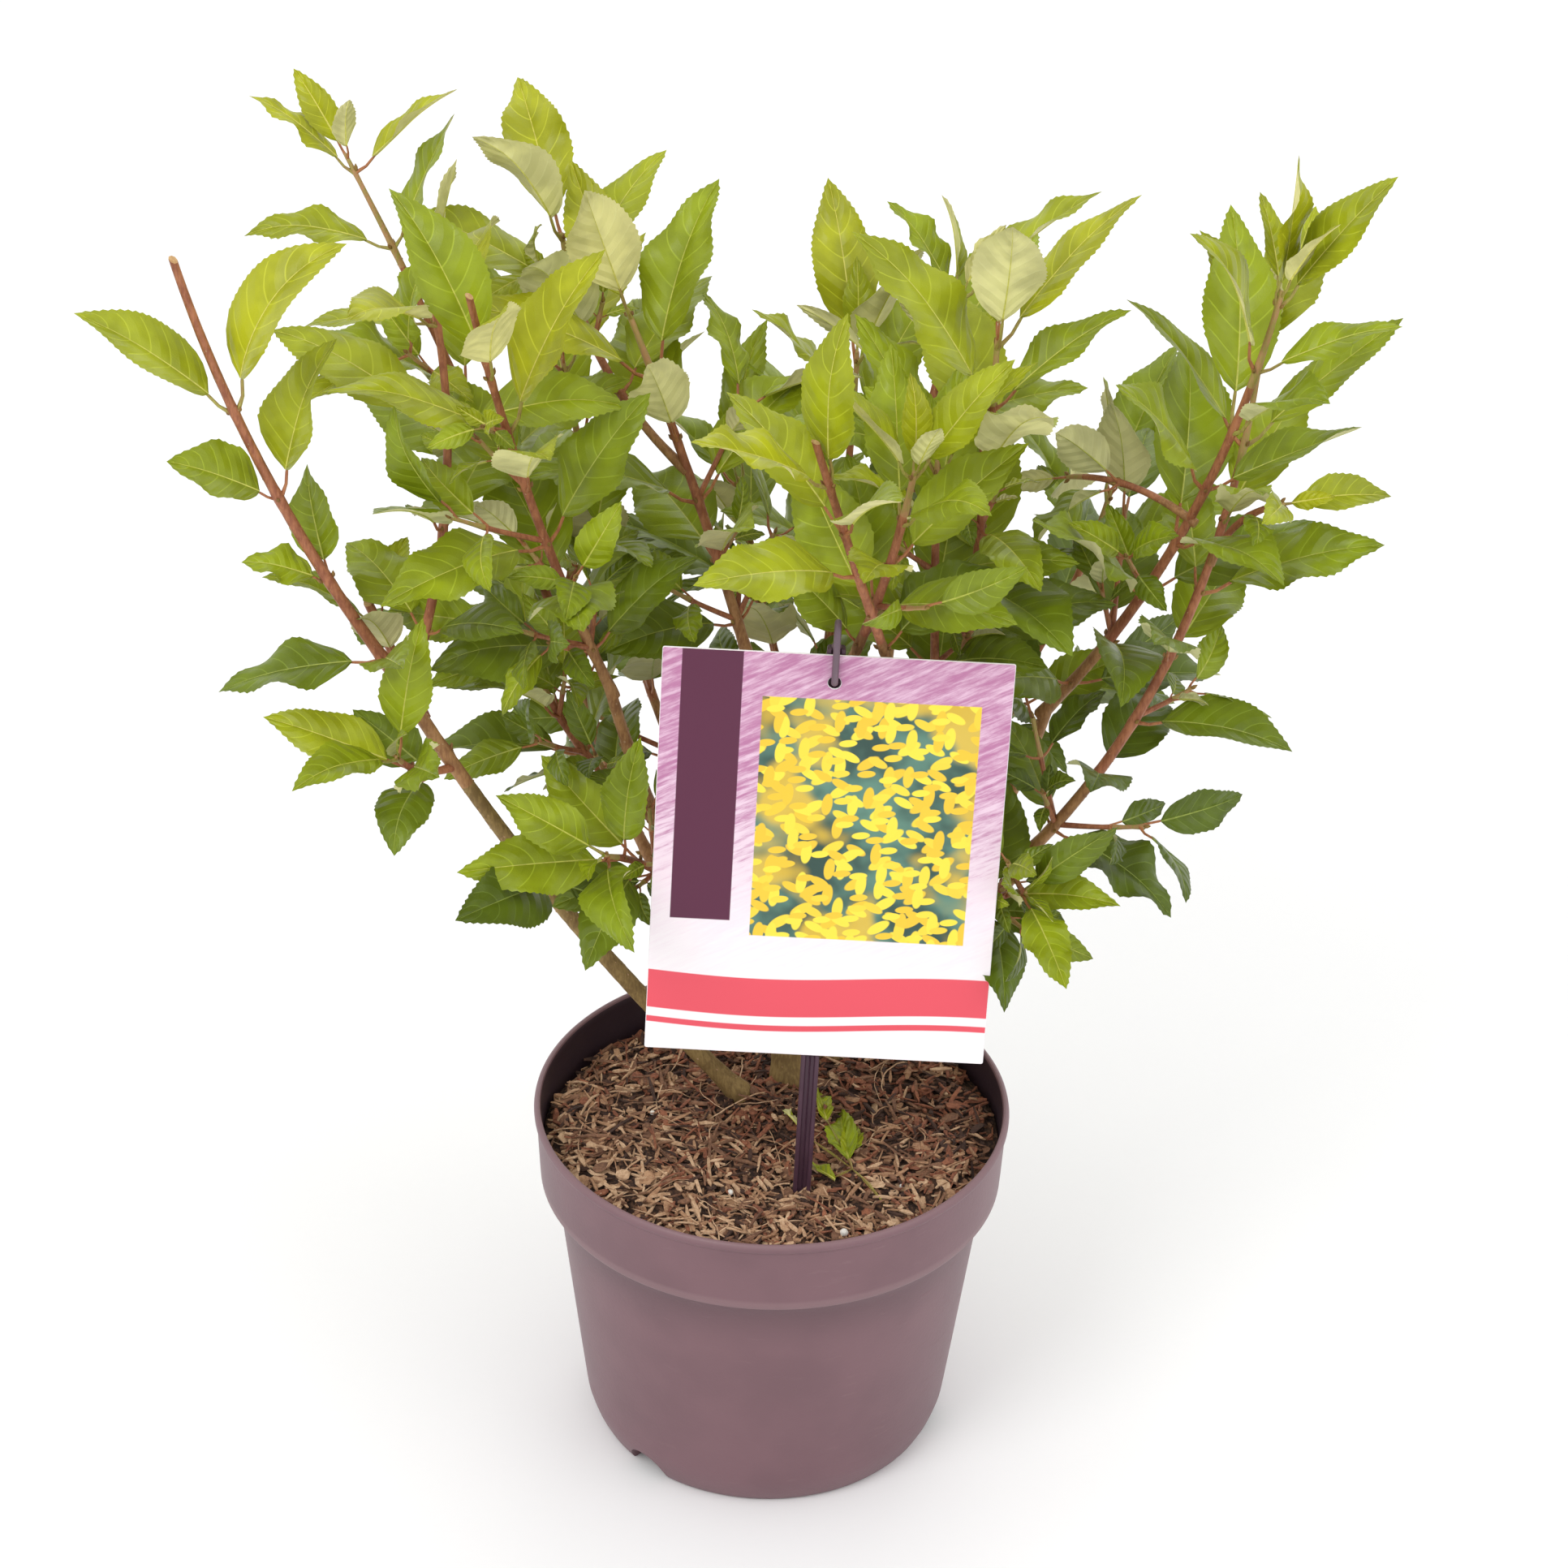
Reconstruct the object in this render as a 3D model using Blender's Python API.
"""Potted forsythia shrub as solids: nursery pot, potting mix, label, stems, boughs and leafy shoots.

The origin is at the centre of the pot's flat underside, +Z is up and the label faces -Y.
Lengths in the tables are in millimetres and are turned into metres where the meshes are made.
"""

import math
import random
from dataclasses import dataclass

import bmesh
import bpy
from mathutils import Matrix, Vector
from mathutils.bvhtree import BVHTree

SKY = Vector((0.0, 0.0, 1.0))
LIGHT = Vector((0.0, -0.5, 1.0)).normalized()

# Driving sizes in millimetres

MM = 0.001
GAP = 0.3
POT_HEIGHT = 150.0
RIM_RADIUS = 95.0
WALL = 1.6
BAND_HEIGHT = 32.0
BAND_FOOT_RADIUS = 92.5
SHOULDER_DROP = 6.0
WALL_TOP_RADIUS = 86.0
WALL_FOOT_RADIUS = 73.9
FOOT_ROUND_HEIGHT = 15.0
FOOT_RADIUS = 67.5
LIP = 1.5
RIM_ROUND = 0.8
STEP_ROUND = 3.0
FLOOR_THICKNESS = 2.2
POT_SIDES = 36
NOTCH_HEADINGS = (-132.0, -12.0, 108.0)
NOTCH_WIDTH = 19.0
NOTCH_HEIGHT = 11.0
NOTCH_SHOULDER = 0.62
NOTCH_INWARD = 5.0
NOTCH_OUTWARD = 14.0
SOIL_LEVEL = 138.0
SOIL_EDGE_DROP = 3.0
SOIL_EDGE_WIDTH = 7.0
SOIL_WALL_GAP = 0.8
SOIL_FOOT_INSET = 9.0

CARD_WIDTH = 131.4
CARD_HEIGHT = 174.8
CARD_THICKNESS = 0.8
CARD_CENTRE = (18.3, -32.5, 287.5)
CARD_LEAN = 4.0
CARD_ROLL = 1.7
STICK_WIDTH = 7.0
STICK_DEPTH = 4.2
STICK_SUNK = 60.0
STICK_OFFSET = -1.2
STICK_ABOVE_CARD = 2.0
HOOK_RADIUS = 1.3
HOOK_RISE = 13.0
HOOK_DROP = 11.0
HOOK_BENDS = 6
HOOK_SIDES = 6
VIEW_DEPTH = 130.0
VIEW_RISE = 0.61
VIEW_OVER = 8.0

LIMB_SIDES = 8
LIMB_STEP = 42.0
FLARE_HEIGHT = 9.0
FOOT_FLARE = 1.25
SHOOT_SIDES = 5
SHOOT_STEP = 32.0
TWIG_SIDES = 3

# Leaf habit, as shares of the blade's length unless said otherwise

PETIOLE_SHARE = 0.22
PETIOLE_HALF_WIDTH_MM = 0.75
WIDEST_AT = 0.40
BASAL_WIDTH = 0.60
UPPER_WIDTH = 0.43
LEAF_THICKNESS_MM = 1.2
FOLD_RISE = 0.08
TEST_MARGIN_MM = 0.7
ROOT_DEPTH = 0.2
LEVELLING = 1.1
LEAST_LEAF_HEIGHT = 152.0
SMALLEST_LEAF = 0.60
UPPER_LEAF_CUT = 0.92
OPENING_SPREAD = 8.0
HEADING_SPREAD = 12.0

# Side twigs: their radii from root to tip, where their pairs stand, and their leaves' shares

TWIGS_BELOW = 0.6
TWIG_RADII = (1.2, 1.0, 0.8)
TWIG_ALONG = 0.62
TWIG_ASIDE = 0.78
TWIG_LIFT = 0.15
TWIG_SAG = 0.04
TWIG_MIDDLE = 0.55
TWIG_FREE_FROM = 0.3
TWIG_STEP_UP = 0.012
TWIG_TURN = 8.0
TWIG_PAIRS = (0.62, 0.96)
TWIG_PAIR_TURN = 55.0
TWIG_BLADE = 0.72
TWIG_BLADE_GAIN = 0.35
TWIG_OPENING = 58.0
TWIG_OPENING_DROP = 22.0
TWIG_SLENDER = 0.46
TWIG_DROOP = 24.0
TWIG_LEVELLING = 0.6

# The small pair that ends a growing shoot

TIP_AT = 0.995
TIP_BLADE = (0.42, 0.54)
TIP_OPENING = 16.0
TIP_SLENDER = 0.38
TIP_DROOP = 14.0
TIP_LEVELLING = 0.1
TIP_SPREAD = 15.0
TRIALS = ((0.0, 0.0, 1.0), (20.0, 6.0, 1.0), (-20.0, -6.0, 1.0), (0.0, 20.0, 0.96), (0.0, -16.0, 0.96),
          (40.0, 0.0, 0.90), (-40.0, 0.0, 0.90), (26.0, 18.0, 0.80), (-26.0, -18.0, 0.80), (0.0, 0.0, 0.66))


@dataclass(frozen=True)
class Limb:
    """A bare stem or bough: it leaves its parent at a share of its length and ends at tip."""

    name: str
    parent: str
    at: float
    tip: tuple
    bow: float
    sway: float
    thick: float
    thin: float
    foot: tuple = ()


@dataclass(frozen=True)
class Shoot(Limb):
    """A leafy shoot, one mass of foliage: opposite pairs of leaves stand at its nodes."""

    first: float = 0.08
    last: float = 0.96
    spacing: float = 30.0
    blade: float = 62.0
    turn: float = 0.0
    step: float = 90.0
    open_low: float = 60.0
    open_high: float = 28.0
    droop: float = 30.0
    twigs: float = 0.0
    leafy_tip: bool = False


LIMBS = (
    Limb("stem_left", "", 0.0, (-147.6, -12.0, 355.8), -8.0, 3.0, 3.8, 2.4, foot=(-14.0, 22.0)),
    Limb("stem_middle", "", 0.0, (-1.0, 37.0, 190.0), 0.0, 1.0, 5.4, 4.2, foot=(6.0, 34.0)),
    Limb("stem_back", "", 0.0, (34.0, 57.0, 194.0), -1.0, 0.0, 5.2, 4.2, foot=(23.0, 54.0)),
    Limb("bough_front_left", "stem_middle", 0.72, (-66.0, 17.0, 331.0), -6.0, 2.0, 2.9, 2.2),
    Limb("bough_middle", "stem_middle", 1.0, (-14.5, 46.0, 332.0), 6.0, 0.0, 3.1, 2.3),
    Limb("bough_back_left", "stem_middle", 0.52, (-73.0, 62.0, 283.0), -9.0, 0.0, 2.7, 2.2),
    Limb("bough_front", "stem_middle", 0.86, (25.0, -10.0, 360.0), -10.0, 3.0, 2.6, 2.1),
    Limb("bough_front_right", "stem_middle", 0.46, (41.5, -8.0, 354.0), -9.0, -4.0, 2.6, 2.1),
    Limb("bough_right_middle", "stem_back", 0.94, (69.5, 24.0, 342.0), -10.0, -5.0, 2.8, 2.2),
    Limb("bough_back_middle", "stem_back", 1.0, (45.0, 62.0, 384.0), 2.0, 2.0, 3.0, 2.2),
    Limb("bough_right", "stem_back", 0.64, (103.0, 43.0, 310.0), -8.0, 0.0, 3.1, 2.4),
    Limb("bough_right_front", "stem_back", 0.34, (98.0, 13.0, 264.0), -6.0, 2.0, 3.0, 2.4),
    Limb("bough_back", "stem_back", 0.80, (14.0, 92.0, 268.0), -5.0, 0.0, 2.6, 2.1),
    Limb("bough_back_right", "stem_back", 0.50, (72.0, 92.0, 256.0), -5.0, 0.0, 2.8, 2.3),
    Limb("bough_far_left", "stem_middle", 0.82, (-38.0, 84.0, 246.0), -5.0, 0.0, 2.8, 2.3),
)

SHOOTS = (
    Shoot("foliage_left_outer", "stem_left", 1.0, (-218.4, -34.0, 535.2), -7.0, 3.0, 2.3, 1.5,
          first=0.02, last=0.645, spacing=40.0, blade=66.0, turn=170.0, step=14.0, droop=40.0),
    Shoot("foliage_left_inner", "stem_left", 0.955, (-133.0, 18.0, 504.8), -8.0, 8.0, 2.0, 1.4,
          first=0.12, last=0.88, spacing=38.0, blade=60.0, turn=150.0, open_high=60.0),
    Shoot("foliage_left_stub", "stem_left", 0.90, (-157.0, 8.0, 372.0), 0.0, 0.0, 2.0, 1.8,
          first=0.45, last=0.80, spacing=17.0, blade=42.0, turn=120.0, open_low=50.0),
    Shoot("foliage_left_twig", "stem_left", 0.80, (-144.0, -30.0, 327.0), -3.0, 0.0, 1.5, 1.2,
          first=0.30, last=0.98, spacing=15.0, blade=50.0, turn=60.0, open_low=34.0, open_high=24.0,
          leafy_tip=True),
    Shoot("foliage_left_foot", "stem_left", 0.53, (-84.0, -6.0, 256.0), 0.0, 0.0, 1.5, 1.2,
          first=0.60, last=0.98, spacing=9.0, blade=60.0, turn=172.0, open_low=76.0, open_high=64.0),
    Shoot("foliage_front_left", "bough_front_left", 1.0, (-115.4, -18.0, 515.5), -3.0, 4.0, 2.1, 1.4,
          first=0.10, last=0.80, spacing=27.0, blade=64.0, turn=195.0, twigs=0.5),
    Shoot("foliage_back_left", "bough_back_left", 1.0, (-169.0, 92.0, 517.0), 6.0, -1.0, 2.1, 1.2,
          first=0.08, last=0.97, spacing=32.0, blade=62.0, turn=60.0, twigs=0.4, leafy_tip=True),
    Shoot("foliage_middle", "bough_middle", 1.0, (-62.0, 70.0, 466.0), 2.0, 0.0, 2.2, 1.4,
          first=0.08, last=0.98, spacing=26.0, blade=64.0, turn=20.0, twigs=0.5, leafy_tip=True),
    Shoot("foliage_upper_left", "foliage_middle", 0.56, (-88.0, 96.0, 484.0), -9.0, -3.0, 1.8, 1.3,
          first=0.34, last=0.98, spacing=21.0, blade=62.0, turn=10.0, leafy_tip=True),
    Shoot("foliage_front", "bough_front", 1.0, (45.5, -36.0, 458.0), -3.0, 0.0, 2.0, 1.4,
          first=0.12, last=0.97, spacing=24.0, blade=58.0, turn=200.0, twigs=0.4, leafy_tip=True),
    Shoot("foliage_front_right", "bough_front_right", 1.0, (9.5, -62.0, 484.0), -4.0, -3.0, 2.0, 1.4,
          first=0.14, last=0.84, spacing=26.0, blade=58.0, turn=30.0, twigs=0.3),
    Shoot("foliage_heart", "bough_right_middle", 0.55, (55.0, 5.0, 440.0), -4.0, 0.0, 2.0, 1.4,
          first=0.30, last=0.97, spacing=25.0, blade=56.0, turn=65.0, twigs=0.3, leafy_tip=True),
    Shoot("foliage_right_middle", "bough_right_middle", 1.0, (75.5, 14.0, 488.0), -4.0, 2.0, 2.0, 1.3,
          first=0.08, last=0.97, spacing=27.0, blade=68.0, turn=10.0, twigs=0.4, leafy_tip=True),
    Shoot("foliage_back_middle", "bough_back_middle", 1.0, (63.0, 82.0, 470.0), 3.0, 2.0, 2.0, 1.3,
          first=0.10, last=0.97, spacing=23.0, blade=62.0, turn=70.0, twigs=0.3, leafy_tip=True),
    Shoot("foliage_right_inner", "bough_right", 1.0, (177.0, 8.0, 512.0), -12.0, 2.0, 2.3, 1.4,
          first=0.08, last=0.97, spacing=27.0, blade=66.0, turn=20.0, twigs=0.4, leafy_tip=True),
    Shoot("foliage_right_outer", "bough_right_front", 1.0, (175.0, 42.0, 472.0), -6.0, 22.0, 2.3, 1.3,
          first=0.06, last=0.97, spacing=28.0, blade=60.0, turn=-20.0, twigs=0.4, leafy_tip=True),
    Shoot("foliage_right_arm", "foliage_right_inner", 0.52, (106.0, 52.0, 409.0), 5.0, 0.0, 1.5, 1.2,
          first=0.55, last=0.97, spacing=17.0, blade=50.0, turn=110.0, open_high=50.0, leafy_tip=True),
    Shoot("foliage_right_tip_twig", "foliage_right_outer", 0.66, (183.0, -2.0, 430.0), 4.0, 0.0, 1.4, 1.2,
          first=0.62, last=0.97, spacing=14.0, blade=38.0, turn=-70.0, open_high=45.0, droop=56.0,
          leafy_tip=True),
    Shoot("foliage_right_low", "bough_right_front", 0.55, (95.0, -22.0, 268.0), 5.0, 0.0, 1.6, 1.2,
          first=0.40, last=0.97, spacing=17.0, blade=44.0, turn=0.0, leafy_tip=True),
    Shoot("foliage_left_low", "bough_front_left", 0.40, (-66.0, -24.0, 281.0), 3.0, 2.0, 1.8, 1.2,
          first=0.34, last=0.97, spacing=17.0, blade=54.0, turn=200.0, leafy_tip=True),
    Shoot("foliage_left_heart", "bough_front_left", 0.62, (-95.0, 42.0, 322.0), -6.0, 0.0, 1.9, 1.3,
          first=0.22, last=0.97, spacing=19.0, blade=56.0, turn=90.0, leafy_tip=True),
    Shoot("foliage_back", "bough_back", 1.0, (26.0, 128.0, 420.0), -6.0, 0.0, 2.0, 1.3,
          first=0.06, last=0.97, spacing=26.0, blade=62.0, turn=40.0, twigs=0.5, leafy_tip=True),
    Shoot("foliage_back_low", "bough_back", 0.70, (-20.0, 146.0, 352.0), -5.0, 0.0, 2.0, 1.3,
          first=0.24, last=0.97, spacing=26.0, blade=60.0, turn=0.0, twigs=0.4, leafy_tip=True),
    Shoot("foliage_back_right", "bough_back_right", 1.0, (128.0, 118.0, 366.0), -8.0, 0.0, 2.0, 1.3,
          first=0.06, last=0.97, spacing=26.0, blade=62.0, turn=75.0, twigs=0.5, leafy_tip=True),
    Shoot("foliage_far_left", "bough_far_left", 1.0, (-90.0, 138.0, 408.0), -8.0, 0.0, 2.0, 1.3,
          first=0.06, last=0.97, spacing=26.0, blade=62.0, turn=15.0, twigs=0.5, leafy_tip=True),
)


@dataclass(frozen=True)
class Marked:
    """A leaf that stands out in the outline: its shoot, pair and side, and its own habit."""

    shoot: str
    row: int
    half: int
    compass: float
    opening: float
    blade: float
    droop: float
    slender: float = 0.45


MARKED = (
    Marked("foliage_left_outer", 0, 0, 190.0, 60.0, 52.0, 18.0, 0.52),
    Marked("foliage_left_outer", 0, 1, 300.0, 62.0, 38.0, 20.0, 0.55),
    Marked("foliage_left_outer", 1, 0, 184.0, 40.0, 27.0, 10.0, 0.66),
    Marked("foliage_left_outer", 1, 1, 66.0, 28.0, 36.0, 10.0, 0.60),
    Marked("foliage_left_outer", 2, 0, 190.0, 36.0, 36.0, 14.0, 0.74),
    Marked("foliage_left_outer", 2, 1, 20.0, 36.0, 54.0, 8.0, 0.54),
    Marked("foliage_left_outer", 3, 0, 184.0, 26.0, 58.0, 10.0, 0.46),
    Marked("foliage_left_outer", 3, 1, 10.0, 28.0, 68.0, 58.0, 0.46),
    Marked("foliage_left_foot", 0, 0, 190.0, 44.0, 64.0, 34.0),
    Marked("foliage_left_foot", 0, 1, 340.0, 60.0, 26.0, 20.0),
    Marked("foliage_back_left", 5, 0, 200.0, 66.0, 42.0, 34.0),
    Marked("foliage_back_left", 6, 0, 185.0, 46.0, 47.0, 20.0, 0.38),
    Marked("foliage_back_left", 6, 1, 5.0, 48.0, 46.0, 4.0),
    Marked("foliage_back_left", 7, 0, 188.0, 20.0, 40.0, 6.0, 0.38),
    Marked("foliage_back_left", 7, 1, 355.0, 72.0, 42.0, -4.0, 0.38),
    Marked("foliage_right_middle", 2, 1, 290.0, 64.0, 46.0, 40.0),
    Marked("foliage_right_middle", 4, 0, 15.0, 44.0, 52.0, 12.0, 0.36),
    Marked("foliage_right_middle", 5, 0, 10.0, 32.0, 64.0, 2.0, 0.35),
    Marked("foliage_back_middle", 3, 1, 185.0, 42.0, 38.0, 8.0, 0.50),
    Marked("foliage_right_outer", 6, 0, 185.0, 44.0, 58.0, 10.0, 0.42),
    Marked("foliage_right_outer", 6, 1, 5.0, 36.0, 62.0, 6.0, 0.34),
    Marked("foliage_right_inner", 4, 0, 0.0, 40.0, 52.0, 8.0),
    Marked("foliage_right_inner", 6, 1, 355.0, 46.0, 46.0, 10.0, 0.38),
    Marked("foliage_right_inner", 7, 0, 355.0, 21.0, 55.0, 8.0),
    Marked("foliage_right_inner", 7, 1, 165.0, 5.0, 50.0, 6.0),
)


# Shapes of limbs and leaves

def side_vectors(direction):
    """Return the level sideways vector and the upward vector square to a direction."""
    side = direction.cross(SKY).normalized()
    return side, side.cross(direction).normalized()


class Course:
    """The bowed centre line of a limb, with its radius at each share of its length."""

    def __init__(self, limb, start):
        self.limb = limb
        self.start = start
        self.chord = Vector(limb.tip) - start
        self.side, up = side_vectors(self.chord.normalized())
        self.lift = up * limb.bow + self.side * limb.sway

    def point(self, share):
        """Return the centre at a share of the length."""
        return self.start + self.chord * share + self.lift * (4.0 * share * (1.0 - share))

    def tangent(self, share):
        """Return the unit direction at a share of the length."""
        return (self.chord + self.lift * (4.0 - 8.0 * share)).normalized()

    def radius(self, share):
        """Return the radius at a share of the length."""
        return self.limb.thick + (self.limb.thin - self.limb.thick) * share

    def length(self):
        """Return the length along the chord."""
        return self.chord.length


def course_of(limb, courses):
    """Place a limb clear of its parent, or with its flat foot just over the potting mix."""
    if not limb.parent:
        return Course(limb, Vector((limb.foot[0], limb.foot[1], SOIL_LEVEL + GAP)))
    parent = courses[limb.parent]
    origin = parent.point(limb.at)
    along = parent.tangent(limb.at)
    heading = Course(limb, origin).tangent(0.0)
    if limb.at >= 1.0:
        square = heading.cross(along).length
        return Course(limb, origin + along * (GAP + limb.thick * square))
    outward = (heading - along * heading.dot(along)).normalized()
    square = heading.cross(outward).length
    return Course(limb, origin + outward * (parent.radius(limb.at) + GAP + limb.thick * square))


def corner_angles(sides):
    """Return the angles of a polygon's corners."""
    return [2.0 * math.pi * k / sides for k in range(sides)]


def ring_around(centre, direction, side, radius, sides):
    """Return the points of a polygon square to a direction, turned so that one corner is at a side."""
    up = side.cross(direction).normalized()
    across = direction.cross(up)
    return [centre + (across * math.cos(a) + up * math.sin(a)) * radius for a in corner_angles(sides)]


def tube_of(rings):
    """Join rings of equal size into a closed tube with flat ends and walls of triangles."""
    sides = len(rings[0])
    points = [point for ring in rings for point in ring]
    faces = []
    for row in range(len(rings) - 1):
        for k in range(sides):
            here = row * sides + k
            following = row * sides + (k + 1) % sides
            faces.append((here, following, following + sides))
            faces.append((here, following + sides, here + sides))
    faces.append(tuple(reversed(range(sides))))
    last = (len(rings) - 1) * sides
    faces.append(tuple(range(last, last + sides)))
    return points, faces


def limb_shape(course, sides, step, flare=False):
    """Return the points and faces of a tapering limb."""
    count = max(2, round(course.length() / step) + 1)
    shares = [row / (count - 1) for row in range(count)]
    if flare:
        shares.insert(1, FLARE_HEIGHT / course.length())
    rings = []
    for row, share in enumerate(shares):
        foot = flare and row == 0
        radius = course.radius(share) * (FOOT_FLARE if foot else 1.0)
        direction = SKY if foot else course.tangent(share)
        rings.append(ring_around(course.point(share), direction, course.side, radius, sides))
    return tube_of(rings)


def twig_shape(ends, direction, margin=0.0):
    """Return a three-sided side twig through three points, thickened by a margin."""
    side = side_vectors(direction)[0]
    return tube_of([ring_around(end, direction, side, radius + margin, TWIG_SIDES)
                    for end, radius in zip(ends, TWIG_RADII)])


@dataclass(frozen=True)
class Leaf:
    """One leaf: where its stalk starts, which way it sets out, its upper side and its size."""

    root: Vector
    direction: Vector
    upper: Vector
    blade: float
    width: float
    droop: float

    def stalk(self):
        """Return the length of the stalk."""
        return self.blade * PETIOLE_SHARE

    def midrib(self, share):
        """Return the midrib's point at a share of the blade, along an arc that droops."""
        distance = self.blade * share
        turn = math.radians(self.droop) * share
        if share <= 0.0 or abs(turn) < 0.01:
            along, across = distance, 0.0
        else:
            along = distance * math.sin(turn) / turn
            across = distance * (1.0 - math.cos(turn)) / turn
        return self.root + self.direction * (self.stalk() + along) - self.upper * across

    def normal(self, share):
        """Return the upper side's direction at a share of the blade."""
        turn = math.radians(self.droop) * share
        return self.upper * math.cos(turn) + self.direction * math.sin(turn)

    def shape(self, margin=0.0, begin=0.0):
        """Return the closed leaf, thickened by a margin, from a share of its stalk onwards."""
        across = self.upper.cross(self.direction).normalized()
        thick = LEAF_THICKNESS_MM * 0.5
        half = self.width * 0.5
        start = self.root + self.direction * (self.stalk() * begin)
        middle = self.midrib(WIDEST_AT)
        rings = [self.ring(start, across, self.upper, PETIOLE_HALF_WIDTH_MM, PETIOLE_HALF_WIDTH_MM, margin),
                 self.ring(middle, across, self.normal(WIDEST_AT), half, thick + half * FOLD_RISE, margin)]
        tip = self.midrib(1.0) + (self.midrib(1.0) - self.midrib(0.9)).normalized() * margin
        points, faces = tube_of(rings)
        faces.pop()
        sides = len(rings[0])
        last = len(points) - sides
        points.append(tip)
        for k in range(sides):
            faces.append((last + k, last + (k + 1) % sides, last + sides))
        return points, faces

    @staticmethod
    def ring(centre, across, normal, half_width, rise, margin):
        """Return two edges above the midrib and the keel under it, with a crest over them in a margin."""
        edge = centre + normal * rise
        aside = across * (half_width + margin)
        points = [edge - aside, centre - normal * (LEAF_THICKNESS_MM * 0.5 + margin), edge + aside]
        if margin:
            points.append(edge + normal * margin)
        return points


def leaf_size(rise):
    """Return a leaf's share of its shoot's blade: small at the foot of the shoot, full above."""
    return SMALLEST_LEAF + (1.0 - SMALLEST_LEAF) * math.sin(math.pi * min(0.5, 0.12 + 0.62 * rise))


class Growth:
    """Grows every shoot by a seeded rule and skips what would touch something else."""

    def __init__(self):
        self.courses = {}
        self.placed = []
        self.tubes = {}
        self.leaves = {}

    def occupy(self, owner, points, faces):
        """Remember a shape, so that later leaves keep clear of it."""
        centre = sum(points, Vector()) / len(points)
        reach = max((point - centre).length for point in points)
        self.placed.append((owner, BVHTree.FromPolygons(points, faces), centre, reach))

    def is_clear(self, points, faces, owners_left_out=()):
        """Tell whether a shape touches none of the shapes placed so far."""
        centre = sum(points, Vector()) / len(points)
        reach = max((point - centre).length for point in points)
        tree = BVHTree.FromPolygons(points, faces)
        for owner, other, middle, other_reach in self.placed:
            if owner in owners_left_out:
                continue
            if (middle - centre).length > reach + other_reach:
                continue
            if tree.overlap(other):
                return False
        return True

    def set_course(self, limb, sides, step):
        """Place a limb or a shoot's own stem and remember its tube."""
        course = course_of(limb, self.courses)
        self.courses[limb.name] = course
        shape = limb_shape(course, sides, step, flare=not limb.parent)
        self.tubes[limb.name] = [shape]
        self.leaves[limb.name] = []
        self.occupy(limb.name, *shape)

    def add_leaf(self, name, leaf):
        """Place a leaf unless it is too low or touches something; tell whether it was placed."""
        points, faces = leaf.shape(TEST_MARGIN_MM)
        if min(point.z for point in points) < LEAST_LEAF_HEIGHT:
            return False
        if not self.is_clear(points, faces, (name, name + ":leaf")):
            return False
        if not self.is_clear(*leaf.shape(TEST_MARGIN_MM, begin=0.5), (name,)):
            return False
        if not self.is_clear(*leaf.shape(TEST_MARGIN_MM, begin=1.0)):
            return False
        self.leaves[name].append(leaf)
        self.occupy(name + ":leaf", *leaf.shape())
        return True

    def set_leaf(self, name, origin, axis, compass, opening, blade, slender, droop, radius, level):
        """Try a leaf at a compass heading, then the trials beside it, and place the first that fits."""
        for swing, spread, size in TRIALS:
            turn = math.radians(compass + swing)
            heading = Vector((math.cos(turn), math.sin(turn), 0.0))
            outward = (heading - axis * heading.dot(axis)).normalized()
            angle = math.radians(opening + spread)
            direction = axis * math.cos(angle) + outward * math.sin(angle)
            upper = axis * math.sin(angle) - outward * math.cos(angle)
            lightward = LIGHT - direction * LIGHT.dot(direction)
            upper = (upper + lightward * level).normalized()
            upper = (upper - direction * upper.dot(direction)).normalized()
            length = blade * size
            root = origin + outward * (radius * ROOT_DEPTH)
            leaf = Leaf(root, direction, upper, length, length * slender, droop)
            if self.add_leaf(name, leaf):
                return True
        return False

    def set_twig(self, name, origin, axis, compass, radius, length, size):
        """Grow a short side twig with two small pairs, or nothing if it would touch."""
        turn = math.radians(compass)
        heading = Vector((math.cos(turn), math.sin(turn), 0.0))
        outward = (heading - axis * heading.dot(axis)).normalized()
        direction = (axis * TWIG_ALONG + outward * TWIG_ASIDE).normalized()
        start = origin + outward * (radius * ROOT_DEPTH)
        tip = start + direction * length + SKY * (length * TWIG_LIFT)
        middle = start.lerp(tip, TWIG_MIDDLE) - SKY * (length * TWIG_SAG)
        if not self.is_clear(*twig_shape((start, middle, tip), direction, TEST_MARGIN_MM),
                             (name, name + ":leaf")):
            return False
        free = start.lerp(tip, TWIG_FREE_FROM)
        if not self.is_clear(*twig_shape((free, middle, tip), direction, TEST_MARGIN_MM)):
            return False
        shape = twig_shape((start, middle, tip), direction)
        self.tubes[name].append(shape)
        self.occupy(name, *shape)
        for row, share in enumerate(TWIG_PAIRS):
            blade = length * (TWIG_BLADE + TWIG_BLADE_GAIN * row) * size
            for half in range(2):
                facing = compass + 90.0 * row + 180.0 * half + TWIG_PAIR_TURN
                opening = TWIG_OPENING - TWIG_OPENING_DROP * row
                self.set_leaf(name, start.lerp(tip, share), direction, facing, opening,
                              blade, TWIG_SLENDER, TWIG_DROOP, TWIG_RADII[-1], TWIG_LEVELLING)
        return True

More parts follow.
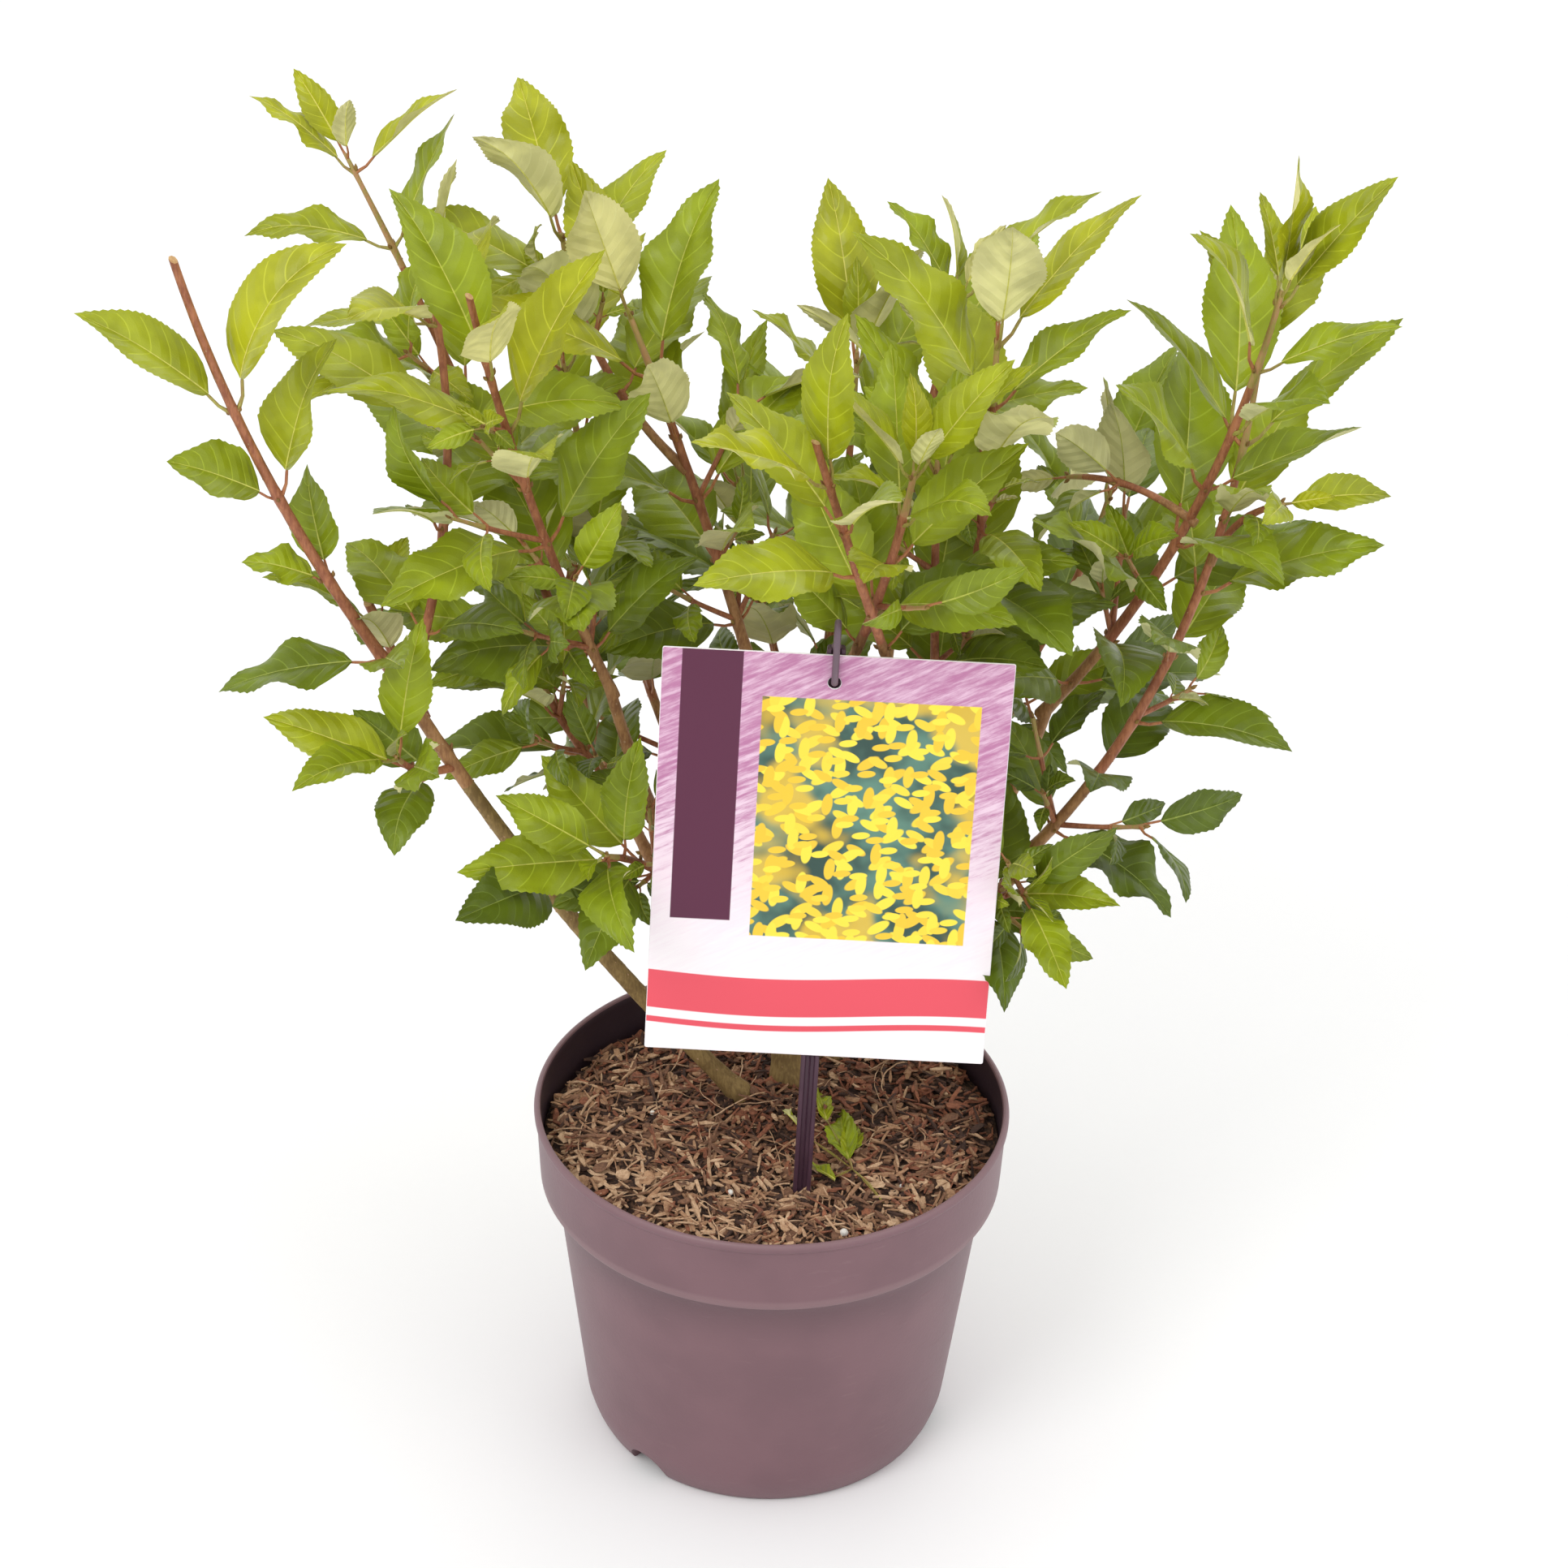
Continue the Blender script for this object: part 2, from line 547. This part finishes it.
    def clothe(self, shoot):
        """Set the pairs of leaves and the side twigs along a shoot."""
        dice = random.Random("forsythia " + shoot.name)
        marks = {(mark.row, mark.half): mark for mark in MARKED if mark.shoot == shoot.name}
        course = self.courses[shoot.name]
        span = (shoot.last - shoot.first) * course.length()
        pairs = max(1, round(span / shoot.spacing) + 1)
        for row in range(pairs):
            rise = row / max(1, pairs - 1)
            share = shoot.first + (shoot.last - shoot.first) * rise
            origin = course.point(share)
            axis = course.tangent(share)
            size = leaf_size(rise)
            if shoot.leafy_tip and rise > 0.8:
                size *= UPPER_LEAF_CUT
            slender = BASAL_WIDTH + (UPPER_WIDTH - BASAL_WIDTH) * min(1.0, rise * 1.6)
            opening = shoot.open_low + (shoot.open_high - shoot.open_low) * rise
            compass = shoot.turn + shoot.step * row + dice.uniform(-HEADING_SPREAD, HEADING_SPREAD)
            for half in range(2):
                blade = shoot.blade * size * dice.uniform(0.88, 1.10)
                tilt = opening + dice.uniform(-OPENING_SPREAD, OPENING_SPREAD)
                sag = shoot.droop * (1.0 - 0.45 * rise) * dice.uniform(0.6, 1.3)
                twig_throw = dice.random()
                twig_length = dice.uniform(26.0, 44.0)
                twig_size = dice.uniform(0.9, 1.15)
                facing = compass + 180.0 * half
                radius = course.radius(share)
                mark = marks.get((row, half))
                if mark:
                    facing, tilt, blade, sag = mark.compass, mark.opening, mark.blade, mark.droop
                width = mark.slender if mark else slender
                self.set_leaf(shoot.name, origin, axis, facing, tilt, blade, width, sag, radius,
                              LEVELLING)
                if twig_throw < shoot.twigs and rise < TWIGS_BELOW:
                    self.set_twig(shoot.name, course.point(share + TWIG_STEP_UP), axis,
                                  facing + TWIG_TURN, radius, twig_length, twig_size)
        if shoot.leafy_tip:
            self.set_tip(shoot, course, dice)

    def set_tip(self, shoot, course, dice):
        """End a growing shoot in a small upright pair."""
        compass = shoot.turn + 90.0 + dice.uniform(-TIP_SPREAD, TIP_SPREAD)
        for half in range(2):
            blade = shoot.blade * dice.uniform(*TIP_BLADE)
            self.set_leaf(shoot.name, course.point(TIP_AT), course.tangent(1.0), compass + 180.0 * half,
                          TIP_OPENING, blade, TIP_SLENDER, TIP_DROOP, course.radius(1.0), TIP_LEVELLING)

    def run(self, obstacles):
        """Grow the whole shrub round the obstacles."""
        for owner, points, faces in obstacles:
            self.occupy(owner, points, faces)
        for limb in LIMBS:
            self.set_course(limb, LIMB_SIDES, LIMB_STEP)
        for shoot in SHOOTS:
            self.set_course(shoot, SHOOT_SIDES, SHOOT_STEP)
        for shoot in SHOOTS:
            self.clothe(shoot)


# Materials

def material(name, colour, roughness, metallic=0.0):
    """Return a plain material."""
    made = bpy.data.materials.new(name)
    made.use_nodes = True
    shader = made.node_tree.nodes["Principled BSDF"]
    shader.inputs["Base Color"].default_value = (*colour, 1.0)
    shader.inputs["Roughness"].default_value = roughness
    shader.inputs["Metallic"].default_value = metallic
    made.diffuse_color = (*colour, 1.0)
    return made


def paints():
    """Return the materials by the name of what they cover."""
    return {
        "pot": material("pot_plastic", (0.188, 0.105, 0.117), 0.55),
        "mix": material("bark_mix", (0.105, 0.062, 0.036), 0.95),
        "card": material("card_print", (0.72, 0.52, 0.64), 0.35),
        "stick": material("stick_plastic", (0.075, 0.035, 0.052), 0.4),
        "hook": material("hook_plastic", (0.16, 0.12, 0.15), 0.4),
        "bark": material("bark", (0.150, 0.095, 0.052), 0.8),
        "foliage": material("leaf_green", (0.120, 0.240, 0.035), 0.55),
    }


# Objects

def object_from(name, points, faces, paint, smooth=True):
    """Make a mesh object, in metres, from points in millimetres."""
    mesh = bpy.data.meshes.new(name)
    mesh.from_pydata([point * MM for point in points], [], faces)
    mesh.materials.append(paint)
    work = bmesh.new()
    work.from_mesh(mesh)
    bmesh.ops.recalc_face_normals(work, faces=work.faces)
    work.to_mesh(mesh)
    work.free()
    if smooth:
        mesh.shade_smooth()
        mesh.set_sharp_from_angle(angle=math.radians(40.0))
    made = bpy.data.objects.new(name, mesh)
    bpy.context.scene.collection.objects.link(made)
    return made


def turned(name, profile, sides, paint):
    """Turn a profile of radius and height pairs, from axis to axis, into a closed solid."""
    rings = []
    for radius, height in profile[1:-1]:
        rings.append([Vector((radius * math.cos(a), radius * math.sin(a), height))
                      for a in corner_angles(sides)])
    points, faces = tube_of(rings)
    return object_from(name, points, faces, paint)


def cut(target, cutter):
    """Cut one object out of another with a Boolean modifier that stays on it."""
    cutter.hide_render = True
    cutter.display_type = "WIRE"
    tool = target.modifiers.new("cut " + cutter.name, "BOOLEAN")
    tool.operation = "DIFFERENCE"
    tool.solver = "EXACT"
    tool.object = cutter


def outer_profile():
    """Return the pot's outside as radius and height pairs, from the underside up to the rim."""
    shoulder = POT_HEIGHT - BAND_HEIGHT
    return [
        (0.0, 0.0),
        (FOOT_RADIUS, 0.0),
        (FOOT_RADIUS + (WALL_FOOT_RADIUS - FOOT_RADIUS) * 0.5, FOOT_ROUND_HEIGHT / 3.0),
        (WALL_FOOT_RADIUS, FOOT_ROUND_HEIGHT),
        (WALL_TOP_RADIUS, shoulder - SHOULDER_DROP),
        (BAND_FOOT_RADIUS - WALL, shoulder - 1.2),
        (BAND_FOOT_RADIUS, shoulder + STEP_ROUND),
        (RIM_RADIUS - RIM_ROUND, POT_HEIGHT - STEP_ROUND),
        (RIM_RADIUS, POT_HEIGHT - RIM_ROUND),
        (RIM_RADIUS - RIM_ROUND, POT_HEIGHT),
    ]


def inner_profile():
    """Return the pot's inside as radius and height pairs, from the rim down to the floor."""
    shoulder = POT_HEIGHT - BAND_HEIGHT
    return [
        (RIM_RADIUS - RIM_ROUND - LIP, POT_HEIGHT),
        (BAND_FOOT_RADIUS - WALL, shoulder + STEP_ROUND),
        (WALL_TOP_RADIUS - WALL, shoulder - SHOULDER_DROP),
        (WALL_FOOT_RADIUS - WALL, FOOT_ROUND_HEIGHT),
        (FOOT_RADIUS - 0.4, FLOOR_THICKNESS),
        (0.0, FLOOR_THICKNESS),
    ]


def build_pot(paint):
    """Make the pot: a turned shell whose foot is cut by three drain notches."""
    pot = turned("pot_shell", outer_profile() + inner_profile(), POT_SIDES, paint)
    half = NOTCH_WIDTH * 0.5
    shoulder = half * NOTCH_SHOULDER
    outline = [(-half, -NOTCH_INWARD), (half, -NOTCH_INWARD), (shoulder, NOTCH_HEIGHT * 0.8),
               (0.0, NOTCH_HEIGHT), (-shoulder, NOTCH_HEIGHT * 0.8)]
    for number, heading in enumerate(NOTCH_HEADINGS):
        turn = math.radians(heading)
        radial = Vector((math.cos(turn), math.sin(turn), 0.0))
        across = Vector((-math.sin(turn), math.cos(turn), 0.0))
        rings = []
        for radius in (FOOT_RADIUS - NOTCH_INWARD, FOOT_RADIUS + NOTCH_OUTWARD):
            rings.append([radial * radius + across * x + SKY * z for x, z in outline])
        points, faces = tube_of(rings)
        cut(pot, object_from(f"drain_notch_{number + 1}", points, faces, paint, smooth=False))
    return pot


def inner_radius(height):
    """Return the pot's inner radius at a height."""
    profile = inner_profile()
    for (upper_radius, upper), (lower_radius, lower) in zip(profile, profile[1:]):
        if lower <= height <= upper and lower < upper:
            share = (height - lower) / (upper - lower)
            return lower_radius + (upper_radius - lower_radius) * share
    return 0.0


def build_mix(paint):
    """Make the potting mix: a solid that fills the pot to just under its rim."""
    bottom = FLOOR_THICKNESS + GAP
    shoulder = POT_HEIGHT - BAND_HEIGHT
    heights = [bottom + NOTCH_HEIGHT, shoulder - SHOULDER_DROP, shoulder + STEP_ROUND,
               SOIL_LEVEL - SOIL_EDGE_DROP]
    profile = [(0.0, bottom), (inner_radius(bottom) - SOIL_FOOT_INSET, bottom)]
    profile += [(inner_radius(height) - SOIL_WALL_GAP, height) for height in heights]
    profile += [(inner_radius(SOIL_LEVEL) - SOIL_EDGE_WIDTH, SOIL_LEVEL), (0.0, SOIL_LEVEL)]
    mix = turned("potting_mix", profile, POT_SIDES, paint)
    cut(mix, object_from("stick_slot", *stick_box(GAP), paint, smooth=False))
    return mix


# Label

def label_frame():
    """Return the turn that leans the label back and rolls it a little."""
    lean = Matrix.Rotation(math.radians(-CARD_LEAN), 3, "X")
    roll = Matrix.Rotation(math.radians(CARD_ROLL), 3, "Y")
    return lean @ roll


def label_point(x, y, z):
    """Place a point given from the card's centre, with y out of its back."""
    return Vector(CARD_CENTRE) + label_frame() @ Vector((x, y, z))


def label_box(x_range, y_range, z_range):
    """Return a box that is square to the card."""
    corners = []
    for z in z_range:
        for x, y in ((x_range[0], y_range[0]), (x_range[1], y_range[0]),
                     (x_range[1], y_range[1]), (x_range[0], y_range[1])):
            corners.append(label_point(x, y, z))
    return tube_of([corners[:4], corners[4:]])


def card_shape():
    """Return the card as a thin board."""
    half = CARD_WIDTH * 0.5
    return label_box((-half, half), (0.0, CARD_THICKNESS), (-CARD_HEIGHT * 0.5, CARD_HEIGHT * 0.5))


def stick_box(margin):
    """Return the stick as a box behind the card, from under the potting mix to the card's top edge."""
    half = STICK_WIDTH * 0.5 + margin
    front = CARD_THICKNESS + GAP - margin
    foot = SOIL_LEVEL - CARD_CENTRE[2] - STICK_SUNK - margin
    return label_box((STICK_OFFSET - half, STICK_OFFSET + half),
                     (front, CARD_THICKNESS + GAP + STICK_DEPTH + margin),
                     (foot, CARD_HEIGHT * 0.5 + STICK_ABOVE_CARD))


def hook_shape():
    """Return the hook that holds the card: a bent rod from the stick's top over the card's edge."""
    top = CARD_HEIGHT * 0.5
    front = -HOOK_RADIUS - GAP
    behind = CARD_THICKNESS + GAP + STICK_DEPTH * 0.5
    arch = (behind - front) * 0.5
    centre = (behind + front) * 0.5
    route = [label_point(STICK_OFFSET, behind, top + STICK_ABOVE_CARD + GAP)]
    for bend in range(HOOK_BENDS + 1):
        angle = math.pi * bend / HOOK_BENDS
        route.append(label_point(STICK_OFFSET, centre + arch * math.cos(angle),
                                 top + HOOK_RISE - arch + arch * math.sin(angle)))
    route.append(label_point(STICK_OFFSET, front, top - HOOK_DROP))
    side = label_frame() @ Vector((1.0, 0.0, 0.0))
    rings = []
    for row, place in enumerate(route):
        before = route[max(0, row - 1)]
        after = route[min(len(route) - 1, row + 1)]
        rings.append(ring_around(place, (after - before).normalized(), side, HOOK_RADIUS, HOOK_SIDES))
    return tube_of(rings)


def label_view():
    """Return the space before the card, up along the line of sight, that the plant stays out of."""
    half = CARD_WIDTH * 0.5
    low, high = -CARD_HEIGHT * 0.5, CARD_HEIGHT * 0.5 + VIEW_OVER
    near = [label_point(x, -GAP, z) for x, z in ((-half, low), (half, low), (half, high), (-half, high))]
    toward = Vector((0.0, -VIEW_DEPTH, VIEW_DEPTH * VIEW_RISE))
    return tube_of([near, [corner + toward for corner in near]])


# Joining a mass

def keep_whole_shell(mesh):
    """Keep the largest closed shell: a hollow that the union sealed is filled, a scrap is dropped."""
    work = bmesh.new()
    work.from_mesh(mesh)
    waiting = set(work.faces)
    shells = []
    while waiting:
        shell = set()
        reached = [waiting.pop()]
        while reached:
            face = reached.pop()
            shell.add(face)
            neighbours = {other for edge in face.edges for other in edge.link_faces}
            for other in sorted(neighbours & waiting, key=lambda near: near.index):
                waiting.remove(other)
                reached.append(other)
        shells.append(shell)
    shells.sort(key=lambda shell: sum(face.calc_area() for face in shell))
    for shell in shells[:-1]:
        bmesh.ops.delete(work, geom=list(shell), context="FACES")
    work.to_mesh(mesh)
    work.free()


def join_mass(name, shapes, paint):
    """Join the tubes and leaves of one mass into a single closed solid."""
    made = object_from(name, *shapes[0], paint, smooth=False)
    pieces = bpy.data.collections.new(name + " pieces")
    bpy.context.scene.collection.children.link(pieces)
    for number, (points, faces) in enumerate(shapes[1:]):
        piece = object_from(f"{name} piece {number}", points, faces, paint, smooth=False)
        bpy.context.scene.collection.objects.unlink(piece)
        pieces.objects.link(piece)
    tool = made.modifiers.new("join", "BOOLEAN")
    tool.operation = "UNION"
    tool.operand_type = "COLLECTION"
    tool.solver = "MANIFOLD"
    tool.collection = pieces
    bpy.context.view_layer.update()
    whole = bpy.data.meshes.new_from_object(made.evaluated_get(bpy.context.evaluated_depsgraph_get()))
    made.modifiers.clear()
    made.data = whole
    whole.name = name
    keep_whole_shell(whole)
    for piece in list(pieces.objects):
        bpy.data.objects.remove(piece)
    bpy.data.collections.remove(pieces)
    return made


def clear_scene():
    """Remove what a new file starts with."""
    for old in list(bpy.data.objects):
        bpy.data.objects.remove(old, do_unlink=True)


def main():
    """Build the pot, the label and the shrub."""
    clear_scene()
    paint = paints()
    build_pot(paint["pot"])
    build_mix(paint["mix"])
    card, stick, hook = card_shape(), stick_box(0.0), hook_shape()
    object_from("label_card", *card, paint["card"], smooth=False)
    object_from("label_stick", *stick, paint["stick"], smooth=False)
    object_from("label_hook", *hook, paint["hook"])
    growth = Growth()
    growth.run([("label", *card), ("label", *stick), ("label", *hook), ("label", *label_view())])
    for limb in LIMBS:
        object_from(limb.name, *growth.tubes[limb.name][0], paint["bark"])
    for shoot in SHOOTS:
        shapes = growth.tubes[shoot.name] + [leaf.shape() for leaf in growth.leaves[shoot.name]]
        join_mass(shoot.name, shapes, paint["foliage"])
    return growth


if __name__ == "__main__":
    main()
